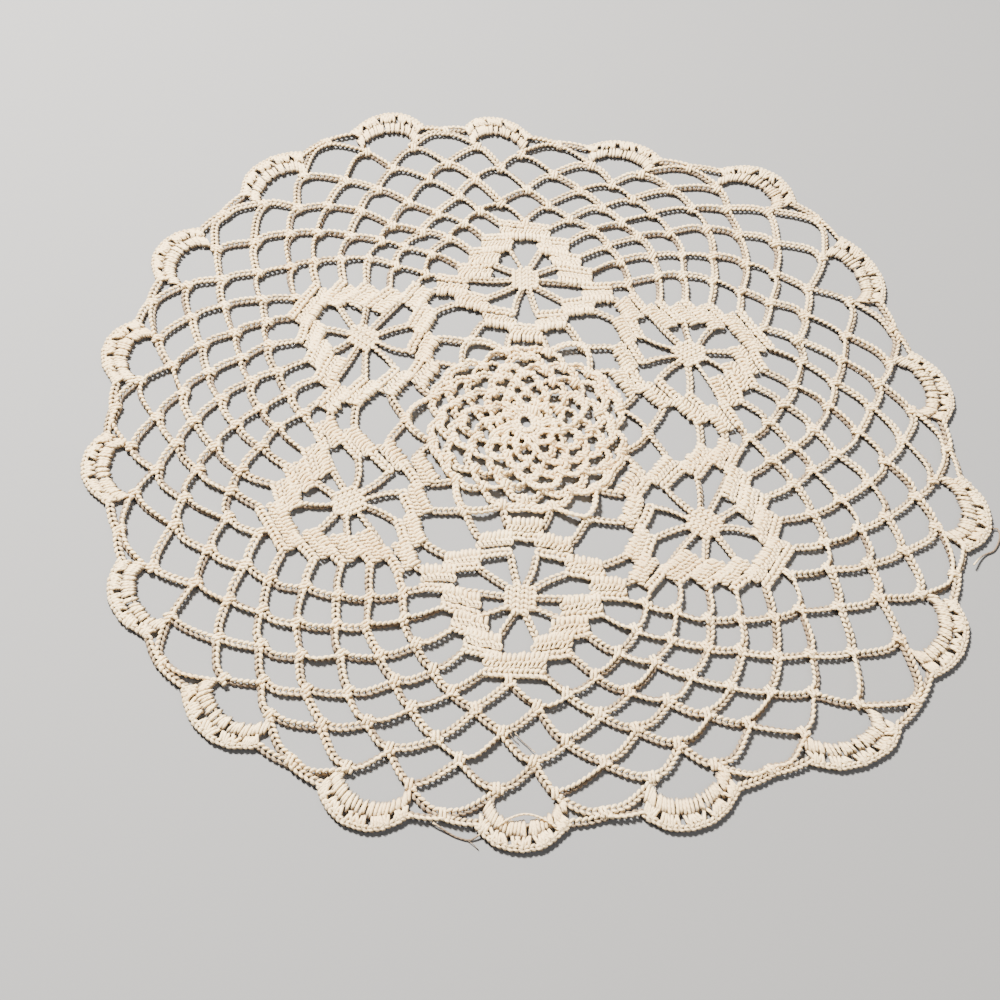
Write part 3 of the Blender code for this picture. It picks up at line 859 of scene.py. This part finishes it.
# ------------------------ loose ends
# Thickness (mm) and the places (mm) that a loose thread passes: across, up and above the table
LOOSE_ENDS = [
    (0.55, [(-25.5, -126.6, 1.3), (-21.8, -128.7, 0.6), (-19.2, -130.0, 0.3),
            (-15.8, -130.7, 0.4), (-13.3, -129.3, 1.2)]),
    (0.22, [(-16.9, -130.5, 0.4), (-14.8, -132.0, 0.6), (-13.6, -133.2, 0.2)]),
    (0.60, [(-8.9, -127.4, 1.9), (-5.5, -125.2, 2.5), (-1.6, -124.1, 2.6), (2.5, -125.0, 2.4),
            (6.4, -127.2, 1.9)]),
    (0.30, [(-4.2, -100.9, 1.4), (-2.5, -102.7, 0.8), (-0.6, -104.5, 0.8), (1.2, -106.5, 1.5)]),
    (0.20, [(-5.4, -101.2, 1.3), (-4.4, -102.5, 0.6), (-3.0, -103.7, 0.4)]),
    (0.55, [(130.9, -43.1, 1.8), (133.6, -40.1, 1.0), (136.0, -38.4, 0.5), (138.3, -37.3, 0.4),
            (139.9, -35.1, 0.6), (141.0, -32.3, 0.8), (140.9, -29.6, 0.8), (139.2, -29.7, 0.5)]),
]


def loose_ends(sextants):
    """The few threads that have worked loose, and the tail left at the edge."""
    for thickness, places_passed in LOOSE_ENDS:
        points = np.array(places_passed)
        angle = np.degrees(np.arctan2(points[0, 1], points[0, 0]))
        lace = sextants[int((angle - FIRST_AXIS) % 360.0 // SEXTANT)]
        cord(lace, points, thickness)


# ------------------------ material
COTTON = (0.91, 0.71, 0.41, 1.0)
COTTON_SHADE = (0.81, 0.59, 0.315, 1.0)
COTTON_PAINTED_SHADE = (0.17, 0.115, 0.07, 1.0)  # painted shade: a near-black brown low down between the threads, where shade falls
COTTON_FINISH = {"Roughness": 0.82, "Sheen Weight": 0.25, "Sheen Roughness": 0.5,
                 "Specular IOR Level": 0.25}
PLY_LENGTH = 1.3  # mm of thread to a full turn of its two plies
RELIEF, RELIEF_STRENGTH = 0.16, 0.7  # mm, and share
FUZZ, DYE = (4000.0, 2.0), (55.0, 3.0)  # scale (1/m) and detail of two noises
DYE_SPREAD = (0.35, 0.70)  # values of its noise where the dye is palest, deepest
PAINTED_SHADE_SPREAD = (0.95, 1.95)  # mm above the table: all painted shade, and clear of it


def cotton():
    """Soft ecru cotton: two plies turned about each other, fine fuzz, and slightly uneven dye.

    Height of the plies = sine of the way round the thread, twice, plus the way along it. Low
    down between the threads the colour goes over to a painted shade, a dark colour that stands in
    for the shade falling there.
    """
    material = bpy.data.materials.new("ecru_cotton")
    material.use_nodes = True
    nodes, links = material.node_tree.nodes, material.node_tree.links
    shader = nodes["Principled BSDF"]
    for socket, value in COTTON_FINISH.items():
        shader.inputs[socket].default_value = value

    def fill(socket, value):
        if isinstance(value, (int, float, tuple)):
            socket.default_value = value
        else:
            links.new(value, socket)

    def maths(operation, first, second):
        node = nodes.new("ShaderNodeMath")
        node.operation = operation
        fill(node.inputs[0], first)
        fill(node.inputs[1], second)
        return node.outputs[0]

    def mixed(share, first, second):
        node = nodes.new("ShaderNodeMix")
        node.data_type = "RGBA"
        for name, value in (("Factor", share), ("A", first), ("B", second)):
            fill(node.inputs[name], value)
        return node.outputs["Result"]

    def clouds(scale, detail):
        node = nodes.new("ShaderNodeTexNoise")
        node.inputs["Scale"].default_value = scale
        node.inputs["Detail"].default_value = detail
        links.new(place, node.inputs["Vector"])
        return node.outputs["Fac"]

    def share_between(value, low, high, curve="LINEAR"):
        node = nodes.new("ShaderNodeMapRange")
        node.interpolation_type = curve
        node.inputs["From Min"].default_value = low
        node.inputs["From Max"].default_value = high
        links.new(value, node.inputs["Value"])
        return node.outputs[0]

    place = nodes.new("ShaderNodeTexCoord").outputs["Object"]
    thread = nodes.new("ShaderNodeUVMap")
    thread.uv_map = "thread"
    split = nodes.new("ShaderNodeSeparateXYZ")
    links.new(thread.outputs[0], split.inputs[0])
    turn = maths("ADD", maths("MULTIPLY", split.outputs[1], 2.0),
                 maths("MULTIPLY", split.outputs[0], 1.0 / PLY_LENGTH))
    plies = maths("SINE", maths("MULTIPLY", turn, 2 * np.pi), 0.0)
    height = maths("ADD", maths("MULTIPLY", plies, 0.5), clouds(*FUZZ))
    bump = nodes.new("ShaderNodeBump")
    bump.inputs["Strength"].default_value = RELIEF_STRENGTH
    bump.inputs["Distance"].default_value = RELIEF * MM
    links.new(height, bump.inputs["Height"])
    links.new(bump.outputs[0], shader.inputs["Normal"])

    # Painted shade: low down between the threads the colour goes over to a near-black brown that
    # stands in for the shade falling there.
    above = nodes.new("ShaderNodeSeparateXYZ")
    links.new(place, above.inputs[0])
    shade = mixed(share_between(clouds(*DYE), *DYE_SPREAD), COTTON, COTTON_SHADE)
    clear_of_painted_shade = share_between(above.outputs[2], *(limit * MM for limit in PAINTED_SHADE_SPREAD), "SMOOTHSTEP")
    links.new(mixed(clear_of_painted_shade, COTTON_PAINTED_SHADE, shade), shader.inputs["Base Color"])
    return material


# ------------------------ pieces
def placed(name, data):
    """A new object of the scene, for a mesh, a lamp or a camera."""
    thing = bpy.data.objects.new(name, data)
    bpy.context.scene.collection.objects.link(thing)
    return thing


def make_piece(name, lace, middle, material):
    """One mesh of all the threads of a sextant, in metres in the frame."""
    first = 0
    points, quads, caps, twists = [], [], [], []
    for part in lace.parts:
        points.append(part.points)
        quads.append(part.faces + first)
        caps.append(part.caps + first)
        twists.append(part.twist)
        first += len(part.points)
    points = (np.concatenate(points) - np.append(middle, 0.0)) * MM
    quads, caps, twists = np.concatenate(quads), np.concatenate(caps), np.concatenate(twists)
    mesh = bpy.data.meshes.new(name)
    mesh.vertices.add(len(points))
    mesh.vertices.foreach_set("co", points.ravel())
    corners = np.concatenate([quads.ravel(), caps.ravel()])
    mesh.loops.add(len(corners))
    mesh.loops.foreach_set("vertex_index", corners)
    starts = np.concatenate([4 * np.arange(len(quads)),
                             4 * len(quads) + SIDES * np.arange(len(caps))])
    mesh.polygons.add(len(starts))
    mesh.polygons.foreach_set("loop_start", starts)
    mesh.update(calc_edges=True)
    mesh.polygons.foreach_set("use_smooth", np.ones(len(starts), bool))
    layer = mesh.uv_layers.new(name="thread")
    layer.uv.foreach_set("vector", np.concatenate([twists.reshape(-1, 2),
                                                   np.zeros((caps.size, 2))]).ravel())
    mesh.materials.append(material)
    return placed(name, mesh)


# ------------------------ scene
FLOOR = (0.19, 0.19, 0.193, 1.0)
CAMERA_TILT, CAMERA_LEAN = -0.575, 0.077  # radians
CAMERA_PLACE = (0.062, 0.167, -3.55)  # of the doily from the camera, in REACH
FOCAL = 1.52  # in image widths
SENSOR = 36.0  # mm
FLOOR_HALF, FLOOR_ROUGHNESS = 3.0, 0.8  # m, and share
SKY, SKY_STRENGTH = (1.0, 0.98, 0.96, 1.0), 0.13


def add_floor():
    """A plain level square under the doily."""
    mesh = bpy.data.meshes.new("floor")
    half = FLOOR_HALF
    mesh.from_pydata([(-half, -half, 0), (half, -half, 0), (half, half, 0), (-half, half, 0)], [],
                     [(0, 1, 2, 3)])
    material = bpy.data.materials.new("floor")
    material.use_nodes = True
    shader = material.node_tree.nodes["Principled BSDF"]
    shader.inputs["Base Color"].default_value = FLOOR
    shader.inputs["Roughness"].default_value = FLOOR_ROUGHNESS
    mesh.materials.append(material)
    floor = placed("floor", mesh)


def add_light(name, place, size, power, colour):
    """A round lamp at a place (m), facing the doily; its size is in m and its power in W."""
    light = bpy.data.lights.new(name, "AREA")
    light.shape = "DISK"
    light.size = size
    light.energy = power
    light.color = colour
    lamp = placed(name, light)
    lamp.location = place
    lamp.rotation_euler = (-Vector(place)).to_track_quat("-Z", "Y").to_euler()


def add_camera(middle):
    """The camera, turned by its tilt and lean, with the doily at CAMERA_PLACE from it."""
    tilt = Matrix.Rotation(CAMERA_TILT, 3, "X") @ Matrix.Rotation(CAMERA_LEAN, 3, "Y")
    camera = bpy.data.cameras.new("camera")
    camera.sensor_width = SENSOR
    camera.lens = FOCAL * camera.sensor_width
    camera.clip_start = 0.01
    place = -(tilt.transposed() @ Vector(CAMERA_PLACE))
    view = placed("camera", camera)
    matrix = tilt.transposed().to_4x4()
    matrix.translation = place * REACH * MM - Vector((*(middle * MM), 0.0))
    view.matrix_world = matrix
    bpy.context.scene.camera = view


def add_sky():
    """An even, faint light from all round."""
    world = bpy.data.worlds.new("studio")
    world.use_nodes = True
    background = world.node_tree.nodes["Background"]
    background.inputs[0].default_value = SKY
    background.inputs[1].default_value = SKY_STRENGTH
    bpy.context.scene.world = world


middle = outline_middle()
sextants = [Lace() for number in range(AXES)]
rosette(sextants)
for axis in range(AXES):
    diamond(sextants[axis], axis)
    valley_chains(sextants[axis], axis)
net(sextants)
edge(sextants)
loose_ends(sextants)
material = cotton()
for number, lace in enumerate(sextants):
    piece = make_piece(f"sextant_{number + 1}", lace, middle, material)
    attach(piece, "root")
    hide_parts("doily")
    share_area(number) * MM ** 2

add_floor()
add_light("key", (-0.44, 0.46, 0.86), 0.20, 80.0, (1.0, 0.965, 0.90))
add_light("fill", (0.6, -0.5, 0.8), 0.9, 6.0, (1.0, 0.98, 0.96))
add_camera(middle)
add_sky()
